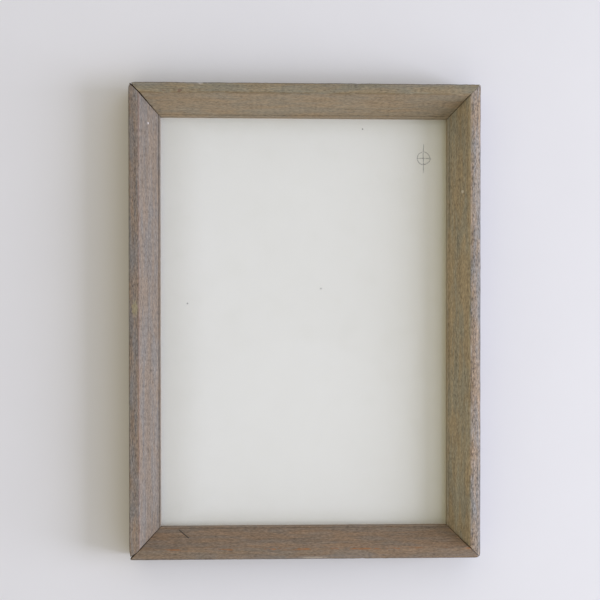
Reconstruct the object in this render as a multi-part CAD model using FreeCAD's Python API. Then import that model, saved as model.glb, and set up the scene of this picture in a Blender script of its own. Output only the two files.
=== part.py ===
"""Screen printing frame: four mitred hardwood rails with a stencil mesh stapled under them.

The frame lies flat with its squeegee side up. +X runs across the frame, +Y along it and +Z up
out of the well. The origin is the middle of the underside, on the plane that the frame rests on.
All sizes are in millimetres.
"""

import FreeCAD
import Part

import math
import os

# The opening that the rails leave, which takes an A4 sheet with a little room.
OPENING_WIDTH = 211.0
OPENING_LENGTH = 300.0

# The rails' moulding, from the outer side inwards: a flat land, a long bevel, a small lip.
RAIL_WIDTH = 21.3
RAIL_HEIGHT = 25.0
LAND_WIDTH = 7.5
LIP_WIDTH = 1.3
LIP_HEIGHT = 6.5
QUIRK_DEPTH = 0.5
OUTER_EDGE_RADIUS = 0.7
LAND_EDGE_RADIUS = 1.2
LIP_EDGE_RADIUS = 0.4

# Each mitre has sprung open at the outer tip and is still tight at the opening.
MITRE_GAP_AT_TIP = {
    "top_left": 0.90,
    "bottom_left": 0.60,
    "bottom_right": 0.50,
    "top_right": 0.20,
}
MITRE_GAP_AT_OPENING = 0.12
GLUE_RECESS = 0.8

# V-shaped nails, pressed across each mitre from the underside.
V_NAIL_HEIGHT = 10.0
V_NAIL_LEG = 6.0
V_NAIL_THICKNESS = 0.6
V_NAIL_SETBACKS = (6.0, 12.3)

# The layers under the rails.
TAPE_THICKNESS = 0.2
MESH_THICKNESS = 0.15
TAPE_WIDTH = 18.0
TRIM_MARGIN = 2.0

# Staples that hold the mesh, set at a slant so that each crosses many threads.
STAPLE_CROWN = 10.0
STAPLE_LEG = 6.0
STAPLE_WIRE_WIDTH = 1.0
STAPLE_WIRE_THICKNESS = 0.5
STAPLE_SLANT = 25.0
STAPLE_PITCH = 24.0
STAPLE_END_DISTANCE = 28.0

# Worked out from the sizes above.
OUTER_WIDTH = OPENING_WIDTH + 2 * RAIL_WIDTH
OUTER_LENGTH = OPENING_LENGTH + 2 * RAIL_WIDTH
MESH_BOTTOM = TAPE_THICKNESS
RAIL_BOTTOM = MESH_BOTTOM + MESH_THICKNESS
BEVEL_FOOT = RAIL_WIDTH - LIP_WIDTH

# Each side's turn from the bottom rail's place, its outer length, and how far out it stands.
SIDES = {
    "bottom": (0, OUTER_WIDTH, OUTER_LENGTH / 2),
    "right": (90, OUTER_LENGTH, OUTER_WIDTH / 2),
    "top": (180, OUTER_WIDTH, OUTER_LENGTH / 2),
    "left": (270, OUTER_LENGTH, OUTER_WIDTH / 2),
}

# The corners at a side's two ends, seen from outside: the left-hand end first.
CORNERS_OF_SIDE = {
    "bottom": ("bottom_left", "bottom_right"),
    "right": ("bottom_right", "top_right"),
    "top": ("top_right", "top_left"),
    "left": ("top_left", "bottom_left"),
}

# The turn that takes shapes made for the bottom left corner to each corner.
CORNER_TURN = {"bottom_left": 0, "bottom_right": 90, "top_right": 180, "top_left": 270}


def vector(x, y, z=0.0):
    return FreeCAD.Vector(x, y, z)


def place_on_side(shape, side):
    """Moves a shape made for the bottom side, with its outer side on y = 0, to the side named."""
    turn, _, stand_off = SIDES[side]
    placed = shape.copy()
    placed.translate(vector(0, -stand_off))
    placed.rotate(vector(0, 0), vector(0, 0, 1), turn)
    return placed


def rounded_wire(corners):
    """A closed wire through (point, radius) corners, with a tangent arc where there is a radius."""
    starts = []
    ends = []
    middles = []
    count = len(corners)
    for index, (point, radius) in enumerate(corners):
        back = (corners[index - 1][0] - point).normalize()
        ahead = (corners[(index + 1) % count][0] - point).normalize()
        half_angle = back.getAngle(ahead) / 2
        reach = radius / math.tan(half_angle)
        inward = (back + ahead).normalize()
        starts.append(point + back * reach)
        ends.append(point + ahead * reach)
        middles.append(point + inward * (radius / math.sin(half_angle) - radius))
    edges = []
    for index, (_, radius) in enumerate(corners):
        if radius > 0:
            edges.append(Part.Arc(starts[index], middles[index], ends[index]).toShape())
        edges.append(Part.LineSegment(ends[index], starts[(index + 1) % count]).toShape())
    return Part.Wire(edges)


def rail_section():
    """The moulding's section in the YZ plane, with the outer side on y = 0."""
    top = RAIL_BOTTOM + RAIL_HEIGHT
    lip = RAIL_BOTTOM + LIP_HEIGHT
    corners = [
        (vector(0, 0, RAIL_BOTTOM), 0),
        (vector(0, RAIL_WIDTH, RAIL_BOTTOM), 0),
        (vector(0, RAIL_WIDTH, lip), LIP_EDGE_RADIUS),
        (vector(0, BEVEL_FOOT, lip), 0),
        (vector(0, BEVEL_FOOT, lip + QUIRK_DEPTH), 0),
        (vector(0, LAND_WIDTH, top), LAND_EDGE_RADIUS),
        (vector(0, 0, top), OUTER_EDGE_RADIUS),
    ]
    return Part.Face(rounded_wire(corners))


def prism(points, bottom, height):
    """An upright prism on a plan outline."""
    closed = [vector(x, y, bottom) for x, y in points + points[:1]]
    return Part.Face(Part.makePolygon(closed)).extrude(vector(0, 0, height))


def rail_plan(side):
    """The rail's plan outline between its two mitre faces, on the bottom side."""
    _, outer_length, _ = SIDES[side]
    half = outer_length / 2
    pull_back = [MITRE_GAP_AT_TIP[corner] / math.sqrt(2) for corner in CORNERS_OF_SIDE[side]]
    tight = MITRE_GAP_AT_OPENING / math.sqrt(2)
    return [
        (-half + pull_back[0], 0),
        (half - pull_back[1], 0),
        (half - RAIL_WIDTH - tight, RAIL_WIDTH),
        (-half + RAIL_WIDTH + tight, RAIL_WIDTH),
    ]


def rail_blank(side):
    """A rail with its mitred ends, before anything is driven into it."""
    _, outer_length, _ = SIDES[side]
    bar = rail_section()
    bar.translate(vector(-outer_length / 2, 0))
    bar = bar.extrude(vector(outer_length, 0))
    between_mitres = prism(rail_plan(side), RAIL_BOTTOM, RAIL_HEIGHT)
    return place_on_side(bar.common(between_mitres), side)


def place_at_corner(shape, corner):
    """Moves a shape made with the frame's outer corner on the origin to the corner named."""
    turn = CORNER_TURN[corner]
    turned_quarter = turn % 180 == 90
    half_x = (OUTER_LENGTH if turned_quarter else OUTER_WIDTH) / 2
    half_y = (OUTER_WIDTH if turned_quarter else OUTER_LENGTH) / 2
    placed = shape.copy()
    placed.translate(vector(-half_x, -half_y))
    placed.rotate(vector(0, 0), vector(0, 0, 1), turn)
    return placed


def v_nail(setback):
    """One nail with its point on the mitre and a leg along each rail."""
    half = V_NAIL_THICKNESS / 2
    near = setback - half
    far = setback + half
    end = setback + V_NAIL_LEG
    outline = [(near, near), (end, near), (end, far), (far, far), (far, end), (near, end)]
    return prism(outline, RAIL_BOTTOM, V_NAIL_HEIGHT)


def v_nails(corner):
    """The nails of one corner."""
    return [place_at_corner(v_nail(setback), corner) for setback in V_NAIL_SETBACKS]


def mitre_glue(corner, nails):
    """The glue left in a mitre: a thin wedge that ends short of every surface in sight."""
    tip = MITRE_GAP_AT_TIP[corner] / math.sqrt(2)
    tight = MITRE_GAP_AT_OPENING / math.sqrt(2)
    wedge = prism(
        [
            (tip, 0),
            (RAIL_WIDTH + tight, RAIL_WIDTH),
            (RAIL_WIDTH, RAIL_WIDTH + tight),
            (0, tip),
        ],
        RAIL_BOTTOM,
        RAIL_HEIGHT,
    )
    sunk_bar = rail_section().makeOffset2D(-GLUE_RECESS)
    sunk_bar.translate(vector(0, 0, -GLUE_RECESS))
    sunk_bar = sunk_bar.extrude(vector(2 * RAIL_WIDTH, 0))
    turned_bar = sunk_bar.mirror(vector(0, 0), vector(1, -1))
    glue = wedge.common(sunk_bar).common(turned_bar)
    return place_at_corner(glue, corner).cut(Part.Compound(nails))


def staple():
    """One staple at the origin, legs up, with its crown along X and its underside at the mesh's."""
    half = STAPLE_CROWN / 2
    crown = Part.makeBox(STAPLE_CROWN, STAPLE_WIRE_WIDTH, STAPLE_WIRE_THICKNESS)
    crown.translate(vector(-half, -STAPLE_WIRE_WIDTH / 2, MESH_BOTTOM))
    shape = crown
    for start in (-half, half - STAPLE_WIRE_THICKNESS):
        leg = Part.makeBox(STAPLE_WIRE_THICKNESS, STAPLE_WIRE_WIDTH, STAPLE_LEG)
        leg.translate(vector(start, -STAPLE_WIRE_WIDTH / 2, MESH_BOTTOM))
        shape = shape.fuse(leg)
    return shape.removeSplitter()


def staples(side):
    """A row of staples along the middle of one rail's underside."""
    _, outer_length, _ = SIDES[side]
    run = outer_length - 2 * STAPLE_END_DISTANCE
    gaps = round(run / STAPLE_PITCH)
    row = []
    for index in range(gaps + 1):
        one = staple()
        one.rotate(vector(0, 0), vector(0, 0, 1), STAPLE_SLANT)
        one.translate(vector(-run / 2 + run * index / gaps, RAIL_WIDTH / 2))
        row.append(place_on_side(one, side))
    return row


def mesh(all_staples):
    """The stencil mesh, flat under the rails, with a hole where each staple presses through."""
    width = OUTER_WIDTH - 2 * TRIM_MARGIN
    length = OUTER_LENGTH - 2 * TRIM_MARGIN
    sheet = Part.makeBox(width, length, MESH_THICKNESS)
    sheet.translate(vector(-width / 2, -length / 2, MESH_BOTTOM))
    return sheet.cut(Part.Compound(all_staples))


def edge_tape(side):
    """A strip of gummed tape over the staples: long sides run through, short sides butt to them."""
    _, outer_length, _ = SIDES[side]
    runs_through = side in ("left", "right")
    length = outer_length - 2 * TRIM_MARGIN - (0 if runs_through else 2 * TAPE_WIDTH)
    strip = Part.makeBox(length, TAPE_WIDTH, TAPE_THICKNESS)
    strip.translate(vector(-length / 2, TRIM_MARGIN))
    return place_on_side(strip, side)


def write(node, shape):
    """Writes one node's STEP file and prints its size."""
    shape.exportStep(os.path.join("parts", node + ".step"))
    print(f"{node}: {len(shape.Solids)} solids, {shape.Volume:.1f} mm3, valid {shape.isValid()}")


def main():
    os.makedirs("parts", exist_ok=True)
    nails = {corner: v_nails(corner) for corner in MITRE_GAP_AT_TIP}
    rows = {side: staples(side) for side in SIDES}
    all_nails = [nail for group in nails.values() for nail in group]
    all_staples = [one for row in rows.values() for one in row]

    for side in SIDES:
        driven_in = [nail for corner in CORNERS_OF_SIDE[side] for nail in nails[corner]]
        write("rail_" + side, rail_blank(side).cut(Part.Compound(driven_in + rows[side])))
        write("staples_" + side, Part.Compound(rows[side]))
        write("edge_tape_" + side, edge_tape(side))
    for corner, group in nails.items():
        write("v_nails_" + corner, Part.Compound(group))
        write("mitre_glue_" + corner, mitre_glue(corner, group))
    write("stencil_mesh", mesh(all_staples))
    print(f"outside {OUTER_WIDTH:.1f} x {OUTER_LENGTH:.1f}")
    print(f"{len(all_nails)} nails, {len(all_staples)} staples")


main()
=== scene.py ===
"""Looks of a small screen printing frame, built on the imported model.

Four mitred rails of stained open-pored hardwood with worn edges, the stencil mesh stretched under
them, and the tape, staples, nails and glue that hold it together. All sizes are in metres.
"""

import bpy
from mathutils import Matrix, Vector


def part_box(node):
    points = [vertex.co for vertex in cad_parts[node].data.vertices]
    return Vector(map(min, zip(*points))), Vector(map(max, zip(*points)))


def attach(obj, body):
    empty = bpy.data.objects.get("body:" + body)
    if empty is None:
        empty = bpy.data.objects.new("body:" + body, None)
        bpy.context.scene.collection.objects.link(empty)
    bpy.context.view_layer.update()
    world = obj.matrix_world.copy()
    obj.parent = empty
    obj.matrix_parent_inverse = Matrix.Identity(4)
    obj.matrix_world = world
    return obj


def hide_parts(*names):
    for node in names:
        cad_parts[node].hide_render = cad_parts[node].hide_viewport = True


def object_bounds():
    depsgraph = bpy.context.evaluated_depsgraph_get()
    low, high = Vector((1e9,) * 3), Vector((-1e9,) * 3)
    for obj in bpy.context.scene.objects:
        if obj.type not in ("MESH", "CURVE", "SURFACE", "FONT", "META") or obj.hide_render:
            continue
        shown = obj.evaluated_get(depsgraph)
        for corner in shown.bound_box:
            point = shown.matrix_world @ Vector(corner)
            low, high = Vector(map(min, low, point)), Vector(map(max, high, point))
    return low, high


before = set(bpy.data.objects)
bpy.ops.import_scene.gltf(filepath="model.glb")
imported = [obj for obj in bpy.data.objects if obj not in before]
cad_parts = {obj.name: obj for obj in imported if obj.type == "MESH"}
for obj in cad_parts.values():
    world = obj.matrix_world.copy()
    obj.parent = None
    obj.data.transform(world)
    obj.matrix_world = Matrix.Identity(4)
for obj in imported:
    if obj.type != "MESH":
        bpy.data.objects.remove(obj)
CAD_BOX = [list(corner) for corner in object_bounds()]

import math
from collections import namedtuple

import bpy
from mathutils import Color, Euler, Vector, noise

MM = 0.001

# The rails' moulding, as in the CAD model: a flat land, a long bevel and a small lip.
LAND_WIDTH = 7.5 * MM
LIP_WIDTH = 1.3 * MM
LIP_HEIGHT = 6.5 * MM
QUIRK_DEPTH = 0.5 * MM
OUTER_EDGE_RADIUS = 0.7 * MM
LAND_EDGE_RADIUS = 1.2 * MM
LIP_EDGE_RADIUS = 0.4 * MM
MITRE_GAP_AT_OPENING = 0.12 * MM
MITRE_GAP_AT_TIP = {
    "top_left": 0.90 * MM,
    "bottom_left": 0.60 * MM,
    "bottom_right": 0.50 * MM,
    "top_right": 0.20 * MM,
}

# The staples under the tape, as in the CAD model.
STAPLE_CROWN = 10.0 * MM
STAPLE_WIDTH = 1.0 * MM
STAPLE_SLANT = math.radians(25)
STAPLE_PITCH = 24.0 * MM
STAPLE_END_DISTANCE = 28.0 * MM

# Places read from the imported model.
LOW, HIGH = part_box("rail_bottom")
RAIL_WIDTH = HIGH.y - LOW.y
RAIL_BOTTOM = LOW.z
RAIL_TOP = HIGH.z
BEVEL_FOOT = RAIL_WIDTH - LIP_WIDTH
LIP_TOP = RAIL_BOTTOM + LIP_HEIGHT
OUTER_WIDTH = CAD_BOX[1][0] - CAD_BOX[0][0]
OUTER_LENGTH = CAD_BOX[1][1] - CAD_BOX[0][1]

# Each side, with s along it from its middle, t inwards from its outer face, and the corners at
# its start and its end.
Side = namedtuple("Side", "along inward length stand_off start end")
RIGHT = Vector((1, 0, 0))
UP = Vector((0, 1, 0))
SIDES = {
    "bottom": Side(RIGHT, UP, OUTER_WIDTH, OUTER_LENGTH / 2, "bottom_left", "bottom_right"),
    "right": Side(UP, -RIGHT, OUTER_LENGTH, OUTER_WIDTH / 2, "bottom_right", "top_right"),
    "top": Side(-RIGHT, -UP, OUTER_WIDTH, OUTER_LENGTH / 2, "top_right", "top_left"),
    "left": Side(-UP, RIGHT, OUTER_LENGTH, OUTER_WIDTH / 2, "top_left", "bottom_left"),
}


def to_row(side, s, t, z):
    """The row-frame place of a point given along, across and above a side."""
    return side.along * s + side.inward * (t - side.stand_off) + Vector((0, 0, z))


def smooth_falloff(distance, reach):
    """1 at no distance, falling smoothly to 0 at reach."""
    share = max(0.0, 1.0 - distance / reach)
    return share * share * (3.0 - 2.0 * share)


# Camera, light and floor.

CAMERA_PLACE = Vector((-0.0428, -0.0172, 0.9287))
CAMERA_TURN = Euler((math.radians(-0.664), math.radians(-2.450), math.radians(-0.028)))
NEAREST_SEEN = 0.01

# The shift is a share of the sensor's width. The sensor and lens are in millimetres.
CAMERA_SHIFT = 0.1
SENSOR = 36.0
LENS = 75.4

WINDOW_AZIMUTH = math.radians(-7)
WINDOW_ELEVATION = math.radians(22)
WINDOW_DISTANCE = 2.25
WINDOW_WIDTH = 1.05
WINDOW_HEIGHT = 1.45
WINDOW_WATTS = 51.0
WINDOW_COLOUR = (0.81, 0.83, 1.0)

# The room's light: the same all round, more from the window's side, and more along the length.
ROOM_ALL_ROUND = (0.40, 0.375, 0.20)
ROOM_WINDOW_SIDE = (0.25, 0.43, 0.96)
ROOM_ENDS = (0.50, 0.43, 0.56)
BACKDROP = (0.78, 0.78, 0.79, 1.0)


def add_camera():
    """The camera nearly straight above the frame."""
    camera = bpy.data.objects.new("camera", bpy.data.cameras.new("camera"))
    camera.data.sensor_width = SENSOR
    camera.data.lens = LENS
    camera.data.shift_y = CAMERA_SHIFT
    camera.data.clip_start = NEAREST_SEEN
    camera.location = CAMERA_PLACE
    camera.rotation_euler = CAMERA_TURN
    bpy.context.scene.collection.objects.link(camera)
    bpy.context.scene.camera = camera


def add_window_light():
    """A large soft window, low on the right."""
    light = bpy.data.lights.new("window", "AREA")
    light.shape = "RECTANGLE"
    light.size = WINDOW_WIDTH
    light.size_y = WINDOW_HEIGHT
    light.energy = WINDOW_WATTS
    light.color = WINDOW_COLOUR
    lamp = bpy.data.objects.new("window", light)
    level = math.cos(WINDOW_ELEVATION)
    east = level * math.cos(WINDOW_AZIMUTH)
    north = level * math.sin(WINDOW_AZIMUTH)
    towards = Vector((east, north, math.sin(WINDOW_ELEVATION)))
    lamp.location = towards * WINDOW_DISTANCE
    lamp.rotation_euler = towards.to_track_quat("Z", "Y").to_euler()
    bpy.context.scene.collection.objects.link(lamp)


def add_room_light():
    """Soft light from the room, warm on the far side, behind a plain pale backdrop."""
    world = bpy.data.worlds.new("room")
    world.use_nodes = True
    nodes = Nodes(world.node_tree)
    direction = nodes.node("ShaderNodeTexCoord", {}).outputs["Generated"]
    x, y, _ = nodes.parts(direction)
    window_side = nodes.vector_math("MULTIPLY", ROOM_WINDOW_SIDE, nodes.math("MAXIMUM", x, 0.0))
    ends = nodes.vector_math("MULTIPLY", ROOM_ENDS, nodes.math("ABSOLUTE", y))
    total = nodes.vector_math("ADD", ROOM_ALL_ROUND, nodes.vector_math("ADD", window_side, ends))
    straight_on = nodes.node("ShaderNodeLightPath", {}).outputs["Is Camera Ray"]
    background = world.node_tree.nodes["Background"]
    nodes.connect(nodes.mix(straight_on, total, BACKDROP), background.inputs["Color"])
    bpy.context.scene.world = world


# Meshes.


def new_piece(name, points, faces, material, sharp_above=35.0):
    """A mesh object that rides on the frame and takes its finish from a material slot."""
    shape = bpy.data.meshes.new(name)
    shape.from_pydata([tuple(point) for point in points], [], faces)
    shape.polygons.foreach_set("use_smooth", [True] * len(shape.polygons))
    shape.set_sharp_from_angle(angle=math.radians(sharp_above))
    shape.materials.append(material)
    piece = bpy.data.objects.new(name, shape)
    bpy.context.scene.collection.objects.link(piece)
    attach(piece, "root")
    return piece


def keep_grain(piece, places):
    """Stores each point's place along, across and above its own rail, which the wood follows."""
    attribute = piece.data.attributes.new("grain", "FLOAT_VECTOR", "POINT")
    flat = [value for place in places for value in place]
    attribute.data.foreach_set("vector", flat)


def divided(start, end, spacing):
    """Points from start up to but not including end, at most spacing apart."""
    count = max(1, math.ceil((end - start).length / spacing))
    return [start.lerp(end, index / count) for index in range(count)]


def rounded_outline(corners, spacing, arc_steps=6):
    """Points round a closed outline of (t, z, radius) corners, with long straights divided."""
    arcs = []
    for index, (t, z, radius) in enumerate(corners):
        point = Vector((t, z))
        back = (Vector(corners[index - 1][:2]) - point).normalized()
        ahead = (Vector(corners[(index + 1) % len(corners)][:2]) - point).normalized()
        half_angle = back.angle(ahead) / 2
        reach = radius / math.tan(half_angle)
        centre = point + (back + ahead).normalized() * (radius / math.sin(half_angle))
        first = point + back * reach
        last = point + ahead * reach
        steps = arc_steps if radius > 0 else 0
        arc = [first]
        for step in range(1, steps + 1):
            chord = first.lerp(last, step / steps) - centre
            arc.append(centre + chord.normalized() * radius)
        arcs.append(arc)
    outline = []
    for index, arc in enumerate(arcs):
        following = arcs[(index + 1) % len(arcs)]
        outline.extend(arc[:-1])
        outline.extend(divided(arc[-1], following[0], spacing))
    return outline


def outward_directions(outline):
    """The outward direction at each point of an outline that runs clockwise."""
    directions = []
    for index in range(len(outline)):
        chord = outline[(index + 1) % len(outline)] - outline[index - 1]
        directions.append(Vector((-chord.y, chord.x)).normalized())
    return directions


def tube_faces(around, stations):
    """Quads of a tube of rings, closed by one face at each end."""
    faces = []
    for station in range(stations - 1):
        for index in range(around):
            following = (index + 1) % around
            near = station * around
            far = near + around
            faces.append((near + index, near + following, far + following, far + index))
    last_ring = (stations - 1) * around
    faces.append(tuple(range(around - 1, -1, -1)))
    faces.append(tuple(range(last_ring, last_ring + around)))
    return faces


# Rails.

# How deep each rail has worn along the land's inner edge, over what pace that changes, how deep
# along the outer edge, how far its two tips are rounded off, and a seed of its own.
Wear = namedtuple("Wear", "land_edge pace outer_edge tip_at_start tip_at_end seed")
RAIL_WEAR = {
    "bottom": Wear(0.35 * MM, 11 * MM, 0.25 * MM, 0.4 * MM, 1.0 * MM, 3.1),
    "right": Wear(0.90 * MM, 6 * MM, 0.30 * MM, 0.9 * MM, 0.4 * MM, 17.7),
    "top": Wear(0.30 * MM, 11 * MM, 0.35 * MM, 0.4 * MM, 1.4 * MM, 29.3),
    "left": Wear(0.30 * MM, 11 * MM, 0.25 * MM, 1.2 * MM, 2.0 * MM, 41.9),
}

# Small dents, each at a place along and across its rail.
Dent = namedtuple("Dent", "side s t radius depth")
DENTS = [
    Dent("left", -143.2 * MM, 13.6 * MM, 1.6 * MM, 0.45 * MM),
    Dent("right", 94.5 * MM, 12.3 * MM, 1.6 * MM, 0.45 * MM),
    Dent("top", 75.0 * MM, 0.4 * MM, 2.6 * MM, 0.50 * MM),
    Dent("top", -38.0 * MM, 0.2 * MM, 3.0 * MM, 0.40 * MM),
    Dent("bottom", 41.0 * MM, 0.3 * MM, 2.8 * MM, 0.35 * MM),
    Dent("left", 62.0 * MM, 0.2 * MM, 3.2 * MM, 0.40 * MM),
    Dent("right", -88.0 * MM, 7.4 * MM, 2.6 * MM, 0.50 * MM),
    Dent("right", 21.0 * MM, 7.6 * MM, 2.2 * MM, 0.45 * MM),
]

# How far wear reaches from the land's two edges, and the outer edge's own pace and seed.
LAND_EDGE_REACH = 2.2 * MM
OUTER_EDGE_REACH = 1.8 * MM
OUTER_EDGE_PACE = 15 * MM
OUTER_EDGE_SEED = 7

# Wear along an edge, as shares of its depth: usual, and its swing in long runs and short nicks.
USUAL_WEAR = 0.35
LONG_RUN_SWING = 0.6
NICK_SWING = 0.5
NICK_PACE = 0.22
NICK_SEED = 5.0

# Shallow waves left by the plane.
PLANE_WAVE = 0.05 * MM
PLANE_WAVE_LENGTH = 22 * MM
PLANE_WAVE_WIDTH = 5 * MM

# How many times its own depth a rounded tip reaches, and the share of it that goes inwards.
TIP_REACH = 4
TIP_INWARD_SHARE = 0.4

# How far in a rail's ends are drawn, and how finely the rails are divided.
END_SOFTNESS = 0.10 * MM
STATION_SPACING = 1.2 * MM
OUTLINE_SPACING = 0.9 * MM
END_STATIONS = (0.0, 0.3 * MM, 0.8 * MM)


def rail_outline():
    """The moulding's section as (across, above) points, clockwise from the bottom outside."""
    corners = [
        (0.0, RAIL_BOTTOM, 0.0),
        (0.0, RAIL_TOP, OUTER_EDGE_RADIUS),
        (LAND_WIDTH, RAIL_TOP, LAND_EDGE_RADIUS),
        (BEVEL_FOOT, LIP_TOP + QUIRK_DEPTH, 0.0),
        (BEVEL_FOOT, LIP_TOP, 0.0),
        (RAIL_WIDTH, LIP_TOP, LIP_EDGE_RADIUS),
        (RAIL_WIDTH, RAIL_BOTTOM, 0.0),
    ]
    return rounded_outline(corners, OUTLINE_SPACING)


def height_at(t):
    """The moulding's height at a distance in from the outer face."""
    if t < LAND_WIDTH:
        return RAIL_TOP
    share = min(1.0, (t - LAND_WIDTH) / (BEVEL_FOOT - LAND_WIDTH))
    return RAIL_TOP + share * (LIP_TOP + QUIRK_DEPTH - RAIL_TOP)


def mitre_place(side, corner, t):
    """How far from the rail's full length its mitre face lies, at a distance across the rail."""
    share = t / RAIL_WIDTH
    gap = MITRE_GAP_AT_TIP[corner] * (1 - share) + MITRE_GAP_AT_OPENING * share
    return side.length / 2 - t - gap / math.sqrt(2)


def station_shares(length):
    """Places along a rail as shares of its length, closer together at both ends."""
    near = [distance / length for distance in END_STATIONS]
    middle_start = END_STATIONS[-1] + STATION_SPACING
    count = round((length - 2 * middle_start) / STATION_SPACING)
    start = middle_start / length
    middle = [start + (1 - 2 * start) * index / count for index in range(count + 1)]
    far = [1 - share for share in reversed(near)]
    return near + middle + far


def ragged(s, pace, seed):
    """Uneven wear between 0 and 1 along a rail, with long runs and short nicks."""
    long_run = noise.noise(Vector((s / pace, seed, 0.0)))
    short_nick = noise.noise(Vector((s / (pace * NICK_PACE), seed, NICK_SEED)))
    wear = USUAL_WEAR + LONG_RUN_SWING * long_run + NICK_SWING * short_nick
    return min(1.0, max(0.0, wear))


def worn_depth(name, s, t, z):
    """How far wear, dents and the plane's waves have taken the surface in at a point."""
    wear = RAIL_WEAR[name]
    from_land_edge = math.hypot(t - LAND_WIDTH, z - RAIL_TOP)
    from_outer_edge = math.hypot(t, z - RAIL_TOP)
    at_land_edge = smooth_falloff(from_land_edge, LAND_EDGE_REACH)
    at_outer_edge = smooth_falloff(from_outer_edge, OUTER_EDGE_REACH)
    depth = wear.land_edge * ragged(s, wear.pace, wear.seed) * at_land_edge
    depth += wear.outer_edge * ragged(s, OUTER_EDGE_PACE, wear.seed + OUTER_EDGE_SEED) * at_outer_edge
    wave = noise.noise(Vector((s / PLANE_WAVE_LENGTH, t / PLANE_WAVE_WIDTH, wear.seed)))
    depth += PLANE_WAVE * (0.5 + 0.5 * wave)
    for dent in DENTS:
        if dent.side == name:
            away = Vector((s - dent.s, t - dent.t, z - height_at(dent.t))).length
            depth += dent.depth * smooth_falloff(away, dent.radius)
    return depth


def tip_pull(side, wear, s, t):
    """How far the rounded-off tips draw a point along the rail, and inwards across it."""
    from_start = math.hypot(s + side.length / 2, t)
    from_end = math.hypot(s - side.length / 2, t)
    start_pull = wear.tip_at_start * smooth_falloff(from_start, TIP_REACH * wear.tip_at_start)
    end_pull = wear.tip_at_end * smooth_falloff(from_end, TIP_REACH * wear.tip_at_end)
    return start_pull - end_pull, (start_pull + end_pull) * TIP_INWARD_SHARE


def add_rail(name, material):
    """One rail as a fine mesh between its two mitre faces, with worn edges."""
    side = SIDES[name]
    wear = RAIL_WEAR[name]
    outline = rail_outline()
    outward = outward_directions(outline)
    shares = station_shares(side.length)
    points = []
    places = []
    for share in shares:
        at_end = share in (0.0, 1.0)
        for point, direction in zip(outline, outward):
            first = -mitre_place(side, side.start, point.x)
            last = mitre_place(side, side.end, point.x)
            s = first + (last - first) * share
            depth = worn_depth(name, s, point.x, point.y)
            if at_end:
                depth += END_SOFTNESS
            along_pull, inward_pull = tip_pull(side, wear, s, point.x)
            t = point.x - direction.x * depth + inward_pull
            z = point.y - direction.y * depth
            points.append(to_row(side, s + along_pull, max(t, 0.0), max(z, RAIL_BOTTOM)))
            places.append((s, point.x, point.y))
    faces = tube_faces(len(outline), len(shares))
    piece = new_piece(f"{name}_rail", points, faces, material)
    keep_grain(piece, places)
    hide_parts(f"rail_{name}")


# Sheets: the stencil mesh and the tape under it.

SHEET_SPACING = 4.0 * MM
TAPE_SPACING = 0.9 * MM

# The tape's uneven ends, its thin clear height under creases, and its bulge round a staple.
TAPE_CUT = 0.4 * MM
TAPE_LEAST_CUT = 0.2
TAPE_CUT_PACE = 4 * MM
TAPE_CUT_SEED = 50
TAPE_CLEAR = 0.45
TAPE_CREASE = 0.20
CREASE_LENGTH = 7 * MM
CREASE_WIDTH = 3 * MM
CREASE_SEED = 99
BULGE_REACH = 1.6 * MM


def sheet_faces(across, along):
    """Faces of a closed sheet made of an upper and a lower grid of points."""
    layer = across * along
    faces = []
    for row in range(along - 1):
        for column in range(across - 1):
            corner = row * across + column
            square = (corner, corner + 1, corner + across + 1, corner + across)
            faces.append(square)
            faces.append(tuple(layer + index for index in reversed(square)))
    rim = list(range(across))
    rim += [row * across + across - 1 for row in range(1, along)]
    rim += [(along - 1) * across + column for column in range(across - 2, -1, -1)]
    rim += [row * across for row in range(along - 2, 0, -1)]
    for index, corner in enumerate(rim):
        following = rim[(index + 1) % len(rim)]
        faces.append((following, corner, layer + corner, layer + following))
    return faces


def grid_shares(length, spacing):
    """Even places along a length, as shares of it, about so far apart."""
    count = max(2, round(length / spacing))
    return [index / count for index in range(count + 1)]


def add_stencil_mesh(material):
    """The mesh as one flat sheet, stretched and held under the four rails."""
    low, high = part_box("stencil_mesh")
    columns = grid_shares(high.x - low.x, SHEET_SPACING)
    rows = grid_shares(high.y - low.y, SHEET_SPACING)
    points = []
    for z in (high.z, low.z):
        for row in rows:
            for column in columns:
                x = low.x + (high.x - low.x) * column
                y = low.y + (high.y - low.y) * row
                points.append(Vector((x, y, z)))
    faces = sheet_faces(len(columns), len(rows))
    piece = new_piece("stretched_mesh", points, faces, material)
    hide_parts("stencil_mesh")


def staple_places(side):
    """Where each staple's middle lies along a side."""
    run = side.length - 2 * STAPLE_END_DISTANCE
    gaps = round(run / STAPLE_PITCH)
    return [-run / 2 + run * index / gaps for index in range(gaps + 1)]


def staple_bulge(side, s, t):
    """From 0 to 1, how far a staple's crown presses the tape out at a point."""
    nearest = min(staple_places(side), key=lambda place: abs(place - s))
    along = (s - nearest) * math.cos(STAPLE_SLANT) + (t - RAIL_WIDTH / 2) * math.sin(STAPLE_SLANT)
    across = (t - RAIL_WIDTH / 2) * math.cos(STAPLE_SLANT) - (s - nearest) * math.sin(STAPLE_SLANT)
    past_end = max(0.0, abs(along) - STAPLE_CROWN / 2)
    past_side = max(0.0, abs(across) - STAPLE_WIDTH / 2)
    return smooth_falloff(math.hypot(past_end, past_side), BULGE_REACH)


def tape_height(side, s, t, low, high):
    """The underside of a strip of tape: creased, and lowest where it goes over a staple."""
    place = Vector((s / CREASE_LENGTH, t / CREASE_WIDTH, side.stand_off * CREASE_SEED))
    crease = 0.5 + 0.5 * noise.noise(place)
    clear = (high - low) * (TAPE_CLEAR + TAPE_CREASE * crease)
    return low + clear * (1 - staple_bulge(side, s, t))


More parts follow.
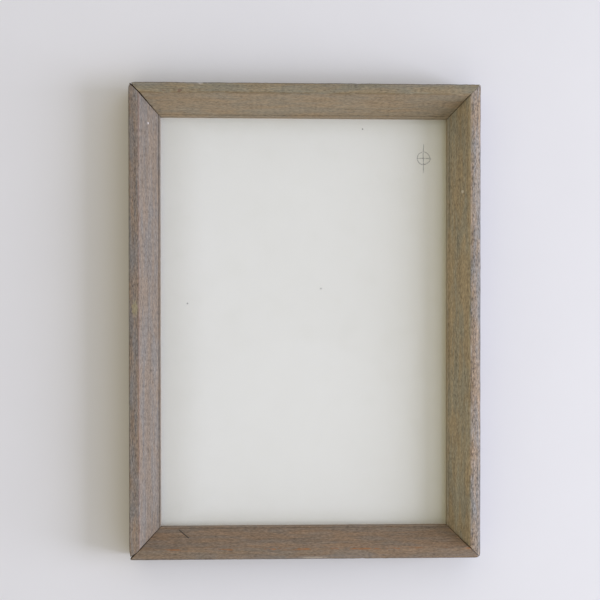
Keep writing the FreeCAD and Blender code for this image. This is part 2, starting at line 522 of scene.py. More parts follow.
def hand_cut(side, t):
    """How far short of its full length the tape's uneven end stops, at a place across it."""
    unevenness = abs(noise.noise(Vector((t / TAPE_CUT_PACE, side.stand_off * TAPE_CUT_SEED, 1.0))))
    return TAPE_CUT * (TAPE_LEAST_CUT + unevenness)


def add_edge_tape(name, material):
    """One strip of gummed tape, hand-cut at the ends, over its row of staples."""
    side = SIDES[name]
    low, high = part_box(f"edge_tape_{name}")
    centre = (low + high) / 2
    size = high - low
    length = abs(size.dot(side.along))
    width = abs(size.dot(side.inward))
    outer_edge = side.stand_off + centre.dot(side.inward) - width / 2
    columns = grid_shares(length, TAPE_SPACING)
    rows = grid_shares(width, TAPE_SPACING)
    points = []
    places = []
    pressed = []
    for underneath in (False, True):
        for row in rows:
            for column in columns:
                t = outer_edge + width * row
                s = length * (column - 0.5)
                if column in (0.0, 1.0):
                    s -= math.copysign(hand_cut(side, t), s)
                z = tape_height(side, s, t, low.z, high.z) if underneath else high.z
                points.append(to_row(side, s, t, z))
                places.append((s, t, z))
                pressed.append(staple_bulge(side, s, t))
    faces = sheet_faces(len(columns), len(rows))
    piece = new_piece(f"{name}_edge_tape", points, faces, material)
    keep_grain(piece, places)
    attribute = piece.data.attributes.new("pressed", "FLOAT", "POINT")
    attribute.data.foreach_set("value", pressed)
    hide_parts(f"edge_tape_{name}")


# Materials. Lengths in a material are in metres.

# Noise, with so many cycles per metre along each axis: where it turns from none of the pattern to
# all of it, how strongly it shows in the colour, and how much it adds to the bump.
Pattern = namedtuple(
    "Pattern", "cycles detail roughness distortion band share bump", defaults=(3.0, 0.55, 0.0, None, 1.0, 1.0)
)

# Short dark lines in cells, with so many cells per metre along each axis: how large a line is in
# its cell, the part of the cells that hold one, and how strongly the lines show. A line is full
# dark over LINE_CORE of its size.
Lines = namedtuple("Lines", "cycles size part share")
LINE_CORE = 0.4
PICK_SOFTNESS = 0.02


def paint(red, green, blue):
    """A screen colour, each part from 0 to 255, as the shader's linear colour."""
    colour = Color((red, green, blue)) / 255
    return (*colour.from_srgb_to_scene_linear(), 1.0)


class Nodes:
    """Short calls that build one node tree."""

    def __init__(self, tree):
        self.tree = tree

    def connect(self, value, socket):
        """Links a socket, or sets a plain value."""
        if isinstance(value, bpy.types.NodeSocket):
            self.tree.links.new(value, socket)
        else:
            socket.default_value = value

    def node(self, kind, inputs, **settings):
        """A node with its settings made and its inputs linked or set."""
        made = self.tree.nodes.new(kind)
        for setting, value in settings.items():
            setattr(made, setting, value)
        for name, value in inputs.items():
            self.connect(value, made.inputs[name])
        return made

    def math(self, operation, first, second=0.0, third=0.0):
        """A sum of up to three values."""
        inputs = {0: first, 1: second, 2: third}
        return self.node("ShaderNodeMath", inputs, operation=operation).outputs[0]

    def product(self, *values):
        """All the values multiplied together."""
        total = values[0]
        for value in values[1:]:
            total = self.math("MULTIPLY", total, value)
        return total

    def total(self, *values):
        """All the values added together."""
        total = values[0]
        for value in values[1:]:
            total = self.math("ADD", total, value)
        return total

    def swing(self, value, amount):
        """A 0 to 1 value as a swing of so much, half of it either side of nothing."""
        return self.math("MULTIPLY_ADD", value, amount, -amount / 2)

    def length(self, first, second):
        """The length of two parts at right angles."""
        return self.math("SQRT", self.total(self.product(first, first), self.product(second, second)))

    def vector_math(self, operation, first, second=(0.0, 0.0, 0.0)):
        """A sum of two vectors, which gives a number for a length or a distance."""
        made = self.node("ShaderNodeVectorMath", {0: first, 1: second}, operation=operation)
        return made.outputs["Value" if operation in ("LENGTH", "DISTANCE") else "Vector"]

    def away_from(self, place, centre, half_sizes):
        """How far a place is from a centre, where 1 is the edge of an oval of these half sizes."""
        offset = self.vector_math("SUBTRACT", place, centre)
        sizes = [1 / half_size for half_size in half_sizes]
        return self.vector_math("LENGTH", self.vector_math("MULTIPLY", offset, sizes))

    def stored(self, name):
        """What the mesh's points hold under a name."""
        return self.node("ShaderNodeAttribute", {}, attribute_name=name).outputs

    def grain_place(self):
        """The point's place along, across and above its rail."""
        return self.stored("grain")["Vector"]

    def object_place(self):
        """The point's place in the frame."""
        return self.node("ShaderNodeTexCoord", {}).outputs["Object"]

    def parts(self, vector):
        """A vector's three parts."""
        return self.node("ShaderNodeSeparateXYZ", {0: vector}).outputs

    def noise(self, place, pattern):
        """A pattern's noise, between 0 and 1."""
        inputs = {
            "Vector": self.vector_math("MULTIPLY", place, pattern.cycles),
            "Scale": 1.0,
            "Detail": pattern.detail,
            "Roughness": pattern.roughness,
            "Distortion": pattern.distortion,
        }
        return self.node("ShaderNodeTexNoise", inputs).outputs["Fac"]

    def patches(self, place, pattern):
        """A pattern's noise as patches of 1 on 0, with soft edges."""
        return self.step(self.noise(place, pattern), *pattern.band)

    def lines(self, place, lines):
        """1 inside a short line, 0 outside it."""
        inputs = {"Vector": self.vector_math("MULTIPLY", place, lines.cycles), "Scale": 1.0}
        made = self.node("ShaderNodeTexVoronoi", inputs)
        draw = self.parts(made.outputs["Color"])[0]
        picked = self.step(draw, 1.0 - lines.part, 1.0 + PICK_SOFTNESS - lines.part)
        inside = self.step(made.outputs["Distance"], lines.size, lines.size * LINE_CORE)
        return self.product(inside, picked)

    def step(self, value, low, high):
        """0 below low, 1 above high and smooth between; the other way round if low is larger."""
        inputs = {"Value": value, "From Min": low, "From Max": high}
        made = self.node("ShaderNodeMapRange", inputs, interpolation_type="SMOOTHSTEP", clamp=True)
        return made.outputs["Result"]

    def scaled(self, value, low, high):
        """A 0 to 1 value brought to the range from low to high."""
        inputs = {"Value": value, "To Min": low, "To Max": high}
        return self.node("ShaderNodeMapRange", inputs, clamp=True).outputs["Result"]

    def mix(self, share, first, second, blend="MIX"):
        """Two colours mixed. Sockets 6 and 7, and output 2, are the node's colours."""
        inputs = {0: share, 6: first, 7: second}
        made = self.node("ShaderNodeMix", inputs, data_type="RGBA", blend_type=blend, clamp_factor=True)
        return made.outputs[2]

    def coated(self, colour, coat, *shares):
        """A colour with a coat over it, as strong as all the shares multiplied together."""
        return self.mix(self.product(*shares), colour, coat)

    def shaded(self, colour, tone):
        """A colour made so many times lighter."""
        grey = self.node("ShaderNodeCombineColor", {0: tone, 1: tone, 2: tone}).outputs[0]
        return self.mix(1.0, colour, grey, "MULTIPLY")


class Finish(Nodes):
    """One surface finish, built from nodes."""

    def __init__(self, name):
        self.material = bpy.data.materials.new(name)
        self.material.use_nodes = True
        super().__init__(self.material.node_tree)
        self.shader = self.tree.nodes["Principled BSDF"]

    def done(self, colour, roughness, height, depth, specular):
        """Sets the shader's colour, roughness and bump, and returns the material."""
        bump = self.node("ShaderNodeBump", {"Height": height, "Distance": depth, "Strength": 1.0})
        self.connect(colour, self.shader.inputs["Base Color"])
        self.connect(roughness, self.shader.inputs["Roughness"])
        self.connect(bump.outputs["Normal"], self.shader.inputs["Normal"])
        self.connect(specular, self.shader.inputs["Specular IOR Level"])
        return self.material


# The rails' stain: the colour of each face, how lively the grain is on the land and on the bevel,
# the colour, strength and cover of the wear along the land's inner edge, how dark dirt and painted
# shade make the outer edge, and a seed that gives each rail its own piece of wood.
Stain = namedtuple(
    "Stain", "land bevel side land_grain bevel_grain worn_colour worn_share worn_from edge_dirt seed"
)
STAINS = {
    "left": Stain(
        land=paint(127, 116, 103), bevel=paint(124, 113, 98), side=paint(104, 92, 80),
        land_grain=1.6, bevel_grain=1.1, edge_dirt=0.6, seed=11.0,
        worn_colour=paint(126, 99, 78), worn_share=0.60, worn_from=0.40,
    ),
    "right": Stain(
        land=paint(153, 143, 131), bevel=paint(159, 149, 128), side=paint(120, 110, 98),
        land_grain=2.2, bevel_grain=1.2, edge_dirt=1.35, seed=23.0,
        worn_colour=paint(184, 172, 156), worn_share=0.70, worn_from=0.50,
    ),
    "top": Stain(
        land=paint(137, 127, 103), bevel=paint(143, 129, 104), side=paint(110, 98, 82),
        land_grain=1.05, bevel_grain=0.85, edge_dirt=1.35, seed=37.0,
        worn_colour=paint(124, 106, 76), worn_share=0.70, worn_from=0.42,
    ),
    "bottom": Stain(
        land=paint(128, 112, 92), bevel=paint(131, 114, 94), side=paint(106, 94, 80),
        land_grain=1.1, bevel_grain=1.2, edge_dirt=1.0, seed=53.0,
        worn_colour=paint(150, 98, 52), worn_share=0.85, worn_from=0.54,
    ),
}

# How many times its seed a rail's grain is shifted along each axis.
OWN_PIECE = (1.0, 0.31, 0.77)

# How lively the outer sides' grain is, as a share, and how dark any grain may turn.
SIDE_CALM = 0.55
DARKEST_TONE = 0.3

COOL_TINT = (0.90, 0.98, 1.10, 1.0)
WARM_TINT = (1.12, 1.00, 0.88, 1.0)
RAW_WOOD = paint(176, 146, 108)
PORE_COLOUR = paint(58, 47, 38)
GRIME = paint(52, 46, 40)
GREY_WEAR = paint(134, 134, 130)
LIP_WEAR_AND_HIGHLIGHT = paint(160, 148, 132)

# The wood's patterns, along, across and above the rail.
FIGURE = Pattern((8, 100, 100), detail=2.0, distortion=0.3, share=0.34)
STREAKS = Pattern((15, 520, 520), detail=4.0, roughness=0.65, share=0.62, bump=0.5)
TICKS = Pattern((400, 1300, 1300), roughness=0.6, share=1.45, bump=0.3)
FIBRES = Pattern((100, 2400, 2400), share=0.70, bump=0.35)
HUES = Pattern((200, 950, 950), detail=4.0, band=(0.38, 0.62), share=0.12)
HUE_PATCHES = Pattern((28, 190, 190), distortion=0.5, band=(0.36, 0.64), share=0.55)
GREYING = Pattern((30, 240, 240), detail=4.0, band=(0.42, 0.62), share=0.35)
RUBBING = Pattern((90, 300, 300), roughness=0.6)
FRAYING = Pattern((260, 260, 260), detail=2.0)
MARK_FRAYING = Pattern((500, 1500, 1500))
PORES = Lines((170, 3000, 3000), size=0.30, part=0.55, share=0.55)
FLECKS = Lines((280, 1100, 1100), size=0.34, part=0.26, share=0.34)
HOLLOW_BUMP = 0.5
GRAIN_DEPTH = 0.22 * MM
WOOD_ROUGHNESS = (0.50, 0.74)
RUBBED_SHINE = 0.15

# The moulding's long edges, across and above the rail, and how far from them wear, dirt,
# painted shade and a painted highlight reach.
LAND_EDGE = (LAND_WIDTH, RAIL_TOP)
OUTER_EDGE = (0.0, RAIL_TOP)
QUIRK_EDGE = (BEVEL_FOOT, LIP_TOP)
LIP_EDGE = (RAIL_WIDTH, LIP_TOP)
RUB_REACH = 1.5 * MM
GREY_REACH = 5.0 * MM
EDGE_DIRT_AND_SHADE_REACH = 1.0 * MM
QUIRK_REACH = 0.6 * MM
LIP_REACH = 0.7 * MM

# How strong the dirt and painted shade and the lip's wear and painted highlight are, and how far about
# a rail's worn_from its wear sets in.
DIRT_AND_SHADE_SHARE = 0.9
QUIRK_SHADE = 0.15
LIP_WEAR_AND_HIGHLIGHT_SHARE = 0.6
WEAR_BELOW = 0.04
WEAR_ABOVE = 0.10
LEAST_DIRT_AND_SHADE = 0.3

# Where one face's colour turns into the next one's, and how far the land's boundary wanders.
LAND_BOUNDARY = (LAND_WIDTH - 0.2 * MM, LAND_WIDTH + 0.5 * MM)
SIDE_BOUNDARY = (0.25 * MM, 0.05 * MM)
UNDERSIDE_BOUNDARY = (RAIL_BOTTOM + 0.5 * MM, RAIL_BOTTOM + 0.1 * MM)
LAND_WANDER = 1.2 * MM

# Marks on the rails: the side, the place along and across, the half sizes, and the colour.
Mark = namedtuple("Mark", "side s t half_length half_width colour strength")
MARKS = [
    Mark("left", -143.2 * MM, 13.6 * MM, 0.8 * MM, 0.7 * MM, paint(206, 198, 188), 0.7),
    Mark("left", -9.7 * MM, 4.4 * MM, 5.0 * MM, 2.0 * MM, paint(160, 150, 104), 0.45),
    Mark("right", 94.5 * MM, 12.3 * MM, 1.0 * MM, 1.1 * MM, paint(206, 198, 186), 0.9),
    Mark("top", 90.3 * MM, 6.0 * MM, 1.5 * MM, 1.1 * MM, paint(104, 70, 60), 0.55),
    Mark("top", 102.0 * MM, 5.8 * MM, 1.2 * MM, 0.9 * MM, paint(112, 80, 64), 0.30),
    Mark("top", 75.0 * MM, 0.8 * MM, 2.0 * MM, 0.8 * MM, paint(190, 182, 168), 0.7),
    Mark("bottom", 5.0 * MM, 1.1 * MM, 9.0 * MM, 0.5 * MM, paint(176, 164, 146), 0.6),
]

# How uneven a mark's rim is, and where it has ended and where it starts to fade.
MARK_RAGGEDNESS = 2.4
MARK_RIM = (1.25, 0.75)

# A dark scratch across the bottom rail's bevel, from one place to another. Its half width has
# ended at the first number and starts to fade at the second.
SCRATCH_START = (-92.3 * MM, 19.5 * MM)
SCRATCH_END = (-84.0 * MM, 14.0 * MM)
SCRATCH_HALF_WIDTH = (0.5 * MM, 0.15 * MM)
SCRATCH_FADE = 1.0 * MM
SCRATCH_SHARE = 0.88


def edge_closeness(nodes, across, above, edge, reach):
    """1 on a long edge of the moulding, falling to 0 at reach."""
    dt = nodes.math("SUBTRACT", across, edge[0])
    dz = nodes.math("SUBTRACT", above, edge[1])
    return nodes.step(nodes.length(dt, dz), reach, 0.0)


def mark_share(nodes, place, mark):
    """1 inside a mark with a broken rim, 0 outside it."""
    centre = (mark.s, mark.t, height_at(mark.t))
    away = nodes.away_from(place, centre, (mark.half_length, mark.half_width, mark.half_width))
    uneven = nodes.swing(nodes.noise(place, MARK_FRAYING), MARK_RAGGEDNESS)
    return nodes.step(nodes.total(away, uneven), *MARK_RIM)


def scratch_share(nodes, along, across):
    """1 on the scratch, 0 off it."""
    run = SCRATCH_END[0] - SCRATCH_START[0]
    rise = SCRATCH_END[1] - SCRATCH_START[1]
    length = math.hypot(run, rise)
    ds = nodes.math("SUBTRACT", along, SCRATCH_START[0])
    dt = nodes.math("SUBTRACT", across, SCRATCH_START[1])
    forward = nodes.total(nodes.product(ds, run / length), nodes.product(dt, rise / length))
    sideways = nodes.total(nodes.product(ds, rise / length), nodes.product(dt, -run / length))
    from_line = nodes.math("ABSOLUTE", sideways)
    from_middle = nodes.math("ABSOLUTE", nodes.math("SUBTRACT", forward, length / 2))
    on_line = nodes.step(from_line, *SCRATCH_HALF_WIDTH)
    within = nodes.step(from_middle, length / 2, length / 2 - SCRATCH_FADE)
    return nodes.product(on_line, within)


def grain_tone(nodes, place, liveliness):
    """The grain's light and shade about 1, and the ticks, fibres and streaks it is made of."""
    figure = nodes.noise(place, FIGURE)
    streaks = nodes.noise(place, STREAKS)
    ticks = nodes.noise(place, TICKS)
    fibres = nodes.noise(place, FIBRES)
    long_swings = nodes.total(nodes.swing(figure, FIGURE.share), nodes.swing(streaks, STREAKS.share))
    short_swings = nodes.total(nodes.swing(ticks, TICKS.share), nodes.swing(fibres, FIBRES.share))
    tone = nodes.math("MULTIPLY_ADD", nodes.total(long_swings, short_swings), liveliness, 1.0)
    return nodes.math("MAXIMUM", tone, DARKEST_TONE), ticks, fibres, streaks


def cooled_and_warmed(nodes, colour, place, pattern, liveliness):
    """A colour turned cool and warm by turns, in a pattern."""
    tint = nodes.mix(nodes.patches(place, pattern), COOL_TINT, WARM_TINT)
    tinted = nodes.mix(1.0, colour, tint, "MULTIPLY")
    return nodes.coated(colour, tinted, liveliness, pattern.share)


def stained_wood(name):
    """Grey-brown stained open-pored hardwood, with the grain along the rail and worn edges."""
    stain = STAINS[name]
    nodes = Finish(f"stained_wood_{name}")
    own = nodes.grain_place()
    along, across, above = nodes.parts(own)
    place = nodes.vector_math("ADD", own, [stain.seed * share for share in OWN_PIECE])

    wander = nodes.swing(nodes.noise(place, FRAYING), LAND_WANDER * stain.land_grain)
    on_bevel = nodes.step(nodes.total(across, wander), *LAND_BOUNDARY)
    on_side = nodes.step(across, *SIDE_BOUNDARY)
    underneath = nodes.step(above, *UNDERSIDE_BOUNDARY)
    colour = nodes.mix(on_bevel, stain.land, stain.bevel)
    colour = nodes.mix(on_side, colour, stain.side)
    colour = nodes.mix(underneath, colour, RAW_WOOD)

    # Light and shade, and cool and warm, run in streaks along the grain.
    liveliness = nodes.scaled(on_bevel, stain.land_grain, stain.bevel_grain)
    liveliness = nodes.product(liveliness, nodes.scaled(on_side, 1.0, SIDE_CALM))
    tone, ticks, fibres, streaks = grain_tone(nodes, place, liveliness)
    colour = nodes.shaded(colour, tone)
    colour = cooled_and_warmed(nodes, colour, place, HUES, liveliness)
    colour = cooled_and_warmed(nodes, colour, place, HUE_PATCHES, liveliness)

    # Open pores and longer flecks.
    pores = nodes.lines(place, PORES)
    flecks = nodes.lines(place, FLECKS)
    colour = nodes.coated(colour, PORE_COLOUR, pores, PORES.share)
    colour = nodes.coated(colour, PORE_COLOUR, flecks, liveliness, FLECKS.share)

    # The stain is rubbed through along the land's inner edge, and greyed near the outer one.
    rub = nodes.noise(place, RUBBING)
    rubbed = nodes.step(rub, stain.worn_from - WEAR_BELOW, stain.worn_from + WEAR_ABOVE)
    rubbed = nodes.product(rubbed, edge_closeness(nodes, across, above, LAND_EDGE, RUB_REACH))
    colour = nodes.coated(colour, stain.worn_colour, rubbed, stain.worn_share)
    greyed = edge_closeness(nodes, across, above, OUTER_EDGE, GREY_REACH)
    colour = nodes.coated(colour, GREY_WEAR, greyed, nodes.patches(place, GREYING), GREYING.share)

    # Dirt and painted shade along the outer edge, painted shade in the quirk at the bevel's foot, and a
    # rubbed lip with a painted highlight.
    edge_dirt = edge_closeness(nodes, across, above, OUTER_EDGE, EDGE_DIRT_AND_SHADE_REACH)
    quirk_shade = edge_closeness(nodes, across, above, QUIRK_EDGE, QUIRK_REACH)
    edge_dirt = nodes.product(edge_dirt, stain.edge_dirt)
    dirt_and_shade = nodes.math("MAXIMUM", edge_dirt, nodes.product(quirk_shade, QUIRK_SHADE))
    colour = nodes.coated(colour, GRIME, dirt_and_shade, nodes.scaled(rub, LEAST_DIRT_AND_SHADE, 1.0), DIRT_AND_SHADE_SHARE)
    # The lip's edge is lighter: wear from rubbing, and a painted highlight.
    lip_wear_and_highlight = edge_closeness(nodes, across, above, LIP_EDGE, LIP_REACH)
    colour = nodes.coated(colour, LIP_WEAR_AND_HIGHLIGHT, lip_wear_and_highlight, rub, LIP_WEAR_AND_HIGHLIGHT_SHARE)

    for mark in MARKS:
        if mark.side == name:
            colour = nodes.coated(colour, mark.colour, mark_share(nodes, own, mark), mark.strength)

    hollows = nodes.product(nodes.total(pores, flecks), HOLLOW_BUMP)
    if name == "bottom":
        scratch = scratch_share(nodes, along, across)
        colour = nodes.coated(colour, GRIME, scratch, SCRATCH_SHARE)
        hollows = nodes.total(hollows, scratch)
    ridges = nodes.total(
        nodes.product(fibres, FIBRES.bump),
        nodes.product(streaks, STREAKS.bump),
        nodes.product(ticks, TICKS.bump),
    )
    height = nodes.math("SUBTRACT", ridges, hollows)
    shine = nodes.product(rubbed, RUBBED_SHINE)
    roughness = nodes.math("SUBTRACT", nodes.scaled(streaks, *WOOD_ROUGHNESS), shine)
    return nodes.done(colour, roughness, height, GRAIN_DEPTH, specular=0.35)


# The pencil mark on the mesh: a plain register mark, a ring with a cross. Where there are two
# numbers, an arm or the line's width has ended at the first and starts to fade at the second.
REGISTER_MARK = (88.6 * MM, 121.3 * MM, 0.0)
REGISTER_RADIUS = 4.6 * MM
REGISTER_ARM_X = (5.4 * MM, 5.3 * MM)
REGISTER_ARM_Y = (10.5 * MM, 10.4 * MM)
PENCIL_HALF_WIDTH = (0.39 * MM, 0.13 * MM)
PENCIL_DRIFT = 1.4 * MM
PENCIL_COLOUR = paint(120, 120, 122)
DRIFTING = Pattern((130, 130, 130), detail=1.0)
TOOTH = Pattern((1900, 1900, 1900), detail=2.0, band=(0.30, 0.62))

# The weave: its pitch, a thread's height where it goes under another, the heights where a hole
# starts and is fully open, and the painted shade of the threads, darkest where they dip lowest.
THREAD_PITCH = 0.31 * MM
UNDER_HEIGHT = 0.6
HOLE_BAND = (0.62, 0.45)
THREAD_PAINTED_SHADE = (0.90, 1.03)
WEAVE_DEPTH = 0.04 * MM

# The mesh's colours and haze, the painted shade in the weave's holes, and how strongly they show.
PLAIN_MESH = paint(233, 234, 227)
PALE_MESH = paint(238, 239, 233)
CLOUD_COLOUR = paint(221, 222, 211)
HOLE_SHADE_COLOUR = paint(150, 151, 146)
HAZE = Pattern((9, 9, 9), detail=2.0)
CLOUDS = Pattern((45, 45, 45), band=(0.45, 0.75), share=0.15)
HOLE_SHADE_SHARE = 0.35
MESH_ROUGHNESS = (0.34, 0.46)

# What lies on the mesh: dust, old ink and painted shade along the rails, a faint paler oval,
# specks and dust.
DUST_AND_SHADE_REACH_LEFT = 36 * MM
DUST_AND_SHADE_REACH_RIGHT = 12 * MM
DUST_AND_SHADE_REACH_END = 15 * MM
DUST_AND_SHADE_LEFT = 0.62
DUST_AND_SHADE_RIGHT = 0.85
DUST_AND_SHADE_END = 0.45
EDGE_DUST_AND_SHADE = (0.80, 0.79, 0.74, 1.0)
PALE_OVAL_MIDDLE = (-4 * MM, -112 * MM, 0.0)
PALE_OVAL_HALF_SIZES = (90 * MM, 100 * MM, math.inf)
PALE_OVAL_EDGE = (1.02, 0.97)
PALE_OVAL_WAVES = Pattern((25, 25, 25), detail=2.0, share=0.12)
PALE_OVAL_BAND = (0.4, 0.6)
PALE_OVAL_SHARES = (0.02, 0.11)
PALE_OVAL_COLOUR = paint(248, 250, 246)
SPECKS = [(12.4 * MM, 24.8 * MM), (43.3 * MM, 142.7 * MM), (-86.0 * MM, 13.7 * MM)]
SPECK_EDGE = (0.75 * MM, 0.35 * MM)
SPECK_SHARE = 0.6
DUST = Lines((42, 42, 42), size=0.018, part=0.20, share=0.35)


def weave(nodes, x, y):
    """Plain weave: the height of the threads, and how open the hole is."""
    turn = math.pi / THREAD_PITCH
    across = nodes.product(x, turn)
    along = nodes.product(y, turn)
    warp = nodes.math("ABSOLUTE", nodes.math("COSINE", across))
    weft = nodes.math("ABSOLUTE", nodes.math("COSINE", along))
    over = nodes.product(nodes.math("SINE", across), nodes.math("SINE", along))
    warp_height = nodes.product(warp, nodes.scaled(over, UNDER_HEIGHT, 1.0))
    weft_height = nodes.product(weft, nodes.scaled(over, 1.0, UNDER_HEIGHT))
    height = nodes.math("MAXIMUM", warp_height, weft_height)
    hole = nodes.step(nodes.math("MAXIMUM", warp, weft), *HOLE_BAND)
    return height, hole


def register_mark(nodes, place):
    """1 on the pencil's lines and 0 off them."""
    drift = nodes.swing(nodes.noise(place, DRIFTING), PENCIL_DRIFT)
    x, y, _ = nodes.parts(nodes.vector_math("SUBTRACT", place, REGISTER_MARK))
    x = nodes.math("ADD", x, drift)
    y = nodes.math("SUBTRACT", y, drift)
    across = nodes.math("ABSOLUTE", x)
    along = nodes.math("ABSOLUTE", y)
    from_ring = nodes.math("ABSOLUTE", nodes.math("SUBTRACT", nodes.length(x, y), REGISTER_RADIUS))
    ring = nodes.step(from_ring, *PENCIL_HALF_WIDTH)
    upright = nodes.product(nodes.step(across, *PENCIL_HALF_WIDTH), nodes.step(along, *REGISTER_ARM_Y))
    level = nodes.product(nodes.step(along, *PENCIL_HALF_WIDTH), nodes.step(across, *REGISTER_ARM_X))
    drawn = nodes.math("MAXIMUM", ring, nodes.math("MAXIMUM", upright, level))
    return nodes.product(drawn, nodes.patches(place, TOOTH))


def edge_dust_and_shade(nodes, x, y):
    """How much dust, old ink and painted shade darken the mesh by the rails, falling to 0 a little way in."""
    half_width = OUTER_WIDTH / 2 - RAIL_WIDTH
    half_length = OUTER_LENGTH / 2 - RAIL_WIDTH
    by_left = nodes.step(x, DUST_AND_SHADE_REACH_LEFT - half_width, -half_width)
    by_right = nodes.step(x, half_width - DUST_AND_SHADE_REACH_RIGHT, half_width)
    by_end = nodes.step(nodes.math("ABSOLUTE", y), half_length - DUST_AND_SHADE_REACH_END, half_length)
    elsewhere = nodes.math("MAXIMUM", nodes.product(by_left, DUST_AND_SHADE_LEFT), nodes.product(by_end, DUST_AND_SHADE_END))
    dust_and_shade = nodes.total(elsewhere, nodes.product(by_right, DUST_AND_SHADE_RIGHT))
    return nodes.math("MINIMUM", dust_and_shade, 1.0)


def pale_oval_share(nodes, place):
    """1 inside a faint soft-edged oval with a wavy rim, 0 outside it."""
    away = nodes.away_from(place, PALE_OVAL_MIDDLE, PALE_OVAL_HALF_SIZES)
    waves = nodes.swing(nodes.noise(place, PALE_OVAL_WAVES), PALE_OVAL_WAVES.share)
    return nodes.step(nodes.total(away, waves), *PALE_OVAL_EDGE)


def stencil_fabric():
    """Off-white polyester mesh: fine plain weave with painted shade in its dips and holes, faint haze,
    a faint paler oval, dust and old ink with painted shade by the rails, specks and a pencil mark.
    """
    nodes = Finish("stencil_fabric")
    place = nodes.object_place()
    x, y, _ = nodes.parts(place)
    height, hole = weave(nodes, x, y)
    cloud = nodes.noise(place, CLOUDS)
    colour = nodes.mix(nodes.noise(place, HAZE), PLAIN_MESH, PALE_MESH)
    colour = nodes.coated(colour, CLOUD_COLOUR, nodes.step(cloud, *CLOUDS.band), CLOUDS.share)
    # A faint paler oval with a wavy rim over the lower middle, its strength following the clouds.
    cover = nodes.scaled(nodes.step(cloud, *PALE_OVAL_BAND), *PALE_OVAL_SHARES)
    colour = nodes.coated(colour, PALE_OVAL_COLOUR, pale_oval_share(nodes, place), cover)
    # Darker towards the rails: dust and old ink, and painted shade.
    colour = nodes.mix(edge_dust_and_shade(nodes, x, y), colour, EDGE_DUST_AND_SHADE, "MULTIPLY")
    # Painted shade: each thread is darker where it dips under another.
    colour = nodes.shaded(colour, nodes.scaled(height, *THREAD_PAINTED_SHADE))
    # Painted shade in the weave's open holes, standing in for the shaded table seen through them.
    colour = nodes.coated(colour, HOLE_SHADE_COLOUR, hole, HOLE_SHADE_SHARE)
    for speck in SPECKS:
        away = nodes.vector_math("DISTANCE", place, (*speck, RAIL_BOTTOM))
        colour = nodes.coated(colour, GRIME, nodes.step(away, *SPECK_EDGE), SPECK_SHARE)
    colour = nodes.coated(colour, GRIME, nodes.lines(place, DUST), DUST.share)
    colour = nodes.mix(register_mark(nodes, place), colour, PENCIL_COLOUR)
    roughness = nodes.scaled(cloud, *MESH_ROUGHNESS)
    return nodes.done(colour, roughness, height, WEAVE_DEPTH, specular=0.5)


# The gummed paper's patterns along, across and above its rail, and its colours.
PULP = Pattern((380, 620, 620), detail=5.0, roughness=0.7, bump=0.5)
PAPER_FIBRES = Pattern((420, 2400, 2400), distortion=0.8, band=(0.56, 0.72), share=0.30, bump=0.2)
WATER_STAINS = Pattern((22, 60, 60), detail=4.0, roughness=0.6, band=(0.42, 0.66), share=0.45)
WRINKLES = Pattern((95, 18, 18), detail=2.0, band=(0.05, 0.0), share=0.30, bump=0.5)
WRINKLE_FADING = Pattern((30, 110, 110), detail=1.0, band=(0.45, 0.65))
DARK_PAPER = paint(140, 106, 70)
PALE_PAPER = paint(184, 147, 103)
FIBRE_COLOUR = paint(204, 174, 132)
STAIN_COLOUR = paint(126, 90, 55)
WRINKLE_COLOUR = paint(112, 82, 54)
RUBBED_PAPER = paint(206, 178, 140)
RUBBED_SHARE = 0.60
LEAST_RUBBED = 0.2

# Stains and pulp smooth the paper.
STAIN_SMOOTHING = 0.7
PULP_SMOOTHING = 0.3
PAPER_ROUGHNESS = (0.74, 0.44)
PAPER_DEPTH = 0.12 * MM


def gummed_paper():
    """Brown gummed paper: matted fibres, water stains, wrinkles across, rubbed over the staples."""
    nodes = Finish("gummed_paper")
    place = nodes.grain_place()
    pulp = nodes.noise(place, PULP)
    fibres = nodes.noise(place, PAPER_FIBRES)
    stained = nodes.patches(place, WATER_STAINS)
    from_middle = nodes.math("ABSOLUTE", nodes.swing(nodes.noise(place, WRINKLES), 2.0))
    fading = nodes.patches(place, WRINKLE_FADING)
    wrinkle = nodes.product(nodes.step(from_middle, *WRINKLES.band), fading)
    pressed = nodes.stored("pressed")["Fac"]
    rubbed = nodes.product(pressed, nodes.scaled(pulp, LEAST_RUBBED, 1.0))
    colour = nodes.mix(pulp, DARK_PAPER, PALE_PAPER)
    loose_fibres = nodes.step(fibres, *PAPER_FIBRES.band)
    colour = nodes.coated(colour, FIBRE_COLOUR, loose_fibres, PAPER_FIBRES.share)
    colour = nodes.coated(colour, STAIN_COLOUR, stained, WATER_STAINS.share)
    colour = nodes.coated(colour, WRINKLE_COLOUR, wrinkle, WRINKLES.share)
    colour = nodes.coated(colour, RUBBED_PAPER, rubbed, RUBBED_SHARE)
    smoothing = nodes.total(nodes.product(stained, STAIN_SMOOTHING), nodes.product(pulp, PULP_SMOOTHING))
    roughness = nodes.scaled(smoothing, *PAPER_ROUGHNESS)
    height = nodes.total(
        nodes.product(pulp, PULP.bump),
        nodes.product(fibres, PAPER_FIBRES.bump),
        nodes.product(wrinkle, WRINKLES.bump),
        pressed,
    )
    return nodes.done(colour, roughness, height, PAPER_DEPTH, specular=0.4)


# Steel: lines from drawing the wire, with rust spots, which are rougher.
DRAWING_LINES = Pattern((400, 400, 6000))
RUST_SPOTS = Pattern((900, 900, 900), band=(0.60, 0.72), share=0.7)
RUST = paint(122, 84, 58)
RUST_ROUGHNESS = 0.3
LINE_DEPTH = 0.02 * MM


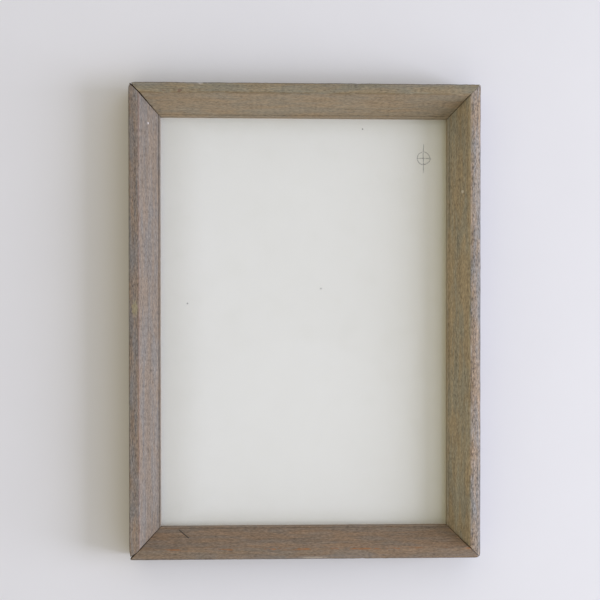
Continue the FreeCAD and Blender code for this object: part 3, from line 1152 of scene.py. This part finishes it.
def drawn_steel(name, clean, tarnish, roughness):
    """Bright steel with drawing lines and small rust spots. Its roughness is a range."""
    nodes = Finish(name)
    place = nodes.object_place()
    lines = nodes.noise(place, DRAWING_LINES)
    spots = nodes.patches(place, RUST_SPOTS)
    colour = nodes.coated(nodes.mix(lines, clean, tarnish), RUST, spots, RUST_SPOTS.share)
    spotted_roughness = nodes.total(nodes.scaled(lines, *roughness), nodes.product(spots, RUST_ROUGHNESS))
    nodes.shader.inputs["Metallic"].default_value = 1.0
    return nodes.done(colour, spotted_roughness, lines, LINE_DEPTH, specular=0.5)


GLUE_RUNS = Pattern((300, 300, 120))
GLUE_DIRT = Pattern((1500, 1500, 1500), detail=2.0, band=(0.5, 0.7), share=0.6)
DARK_GLUE = paint(46, 34, 22)
PALE_GLUE = paint(82, 60, 36)
GLUE_GRIME = paint(30, 25, 20)
GLUE_ROUGHNESS = (0.35, 0.75)
GLUE_DEPTH = 0.2 * MM


def dried_glue():
    """Old wood glue, dark with dirt, glossy where it has run."""
    nodes = Finish("dried_glue")
    place = nodes.object_place()
    runs = nodes.noise(place, GLUE_RUNS)
    colour = nodes.mix(runs, DARK_GLUE, PALE_GLUE)
    colour = nodes.coated(colour, GLUE_GRIME, nodes.patches(place, GLUE_DIRT), GLUE_DIRT.share)
    roughness = nodes.scaled(runs, *GLUE_ROUGHNESS)
    return nodes.done(colour, roughness, runs, GLUE_DEPTH, specular=0.4)


FLOOR_REACH = 4.0
MOTTLING = Pattern((14, 14, 14))
DARK_FLOOR = (0.77, 0.77, 0.77, 1.0)
PALE_FLOOR = (0.80, 0.80, 0.80, 1.0)
FLOOR_ROUGHNESS = 0.7
FLOOR_DEPTH = 0.05 * MM


def floor_paint():
    """A plain pale table top, with the slightest mottling."""
    nodes = Finish("floor")
    mottle = nodes.noise(nodes.object_place(), MOTTLING)
    colour = nodes.mix(mottle, DARK_FLOOR, PALE_FLOOR)
    return nodes.done(colour, FLOOR_ROUGHNESS, mottle, FLOOR_DEPTH, specular=0.2)


def add_floor():
    """A wide square table top under the frame."""
    square = ((-1, -1), (1, -1), (1, 1), (-1, 1))
    corners = [(x * FLOOR_REACH, y * FLOOR_REACH, 0.0) for x, y in square]
    shape = bpy.data.meshes.new("floor")
    shape.from_pydata(corners, [], [(0, 1, 2, 3)])
    shape.materials.append(floor_paint())
    floor = bpy.data.objects.new("floor", shape)
    bpy.context.scene.collection.objects.link(floor)


def finish_cad_nodes():
    """Gives the CAD nodes that stay in the model their materials."""
    nail_steel = drawn_steel("nail_steel", paint(176, 178, 182), paint(128, 128, 130), (0.28, 0.44))
    staple_wire = drawn_steel("staple_wire", paint(198, 199, 198), paint(150, 150, 148), (0.24, 0.40))
    finishes = {"mitre_glue": dried_glue(), "v_nails": nail_steel, "staples": staple_wire}
    for node_name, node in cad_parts.items():
        for family, material in finishes.items():
            if node_name.startswith(family):
                for material_slot in node.material_slots:
                    material_slot.material = material


def main():
    """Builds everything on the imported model."""
    bpy.context.scene.view_settings.view_transform = "Standard"
    add_camera()
    add_window_light()
    add_room_light()
    add_floor()
    for name in SIDES:
        add_rail(name, stained_wood(name))
    add_stencil_mesh(stencil_fabric())
    tape = gummed_paper()
    for name in SIDES:
        add_edge_tape(name, tape)
    finish_cad_nodes()


main()
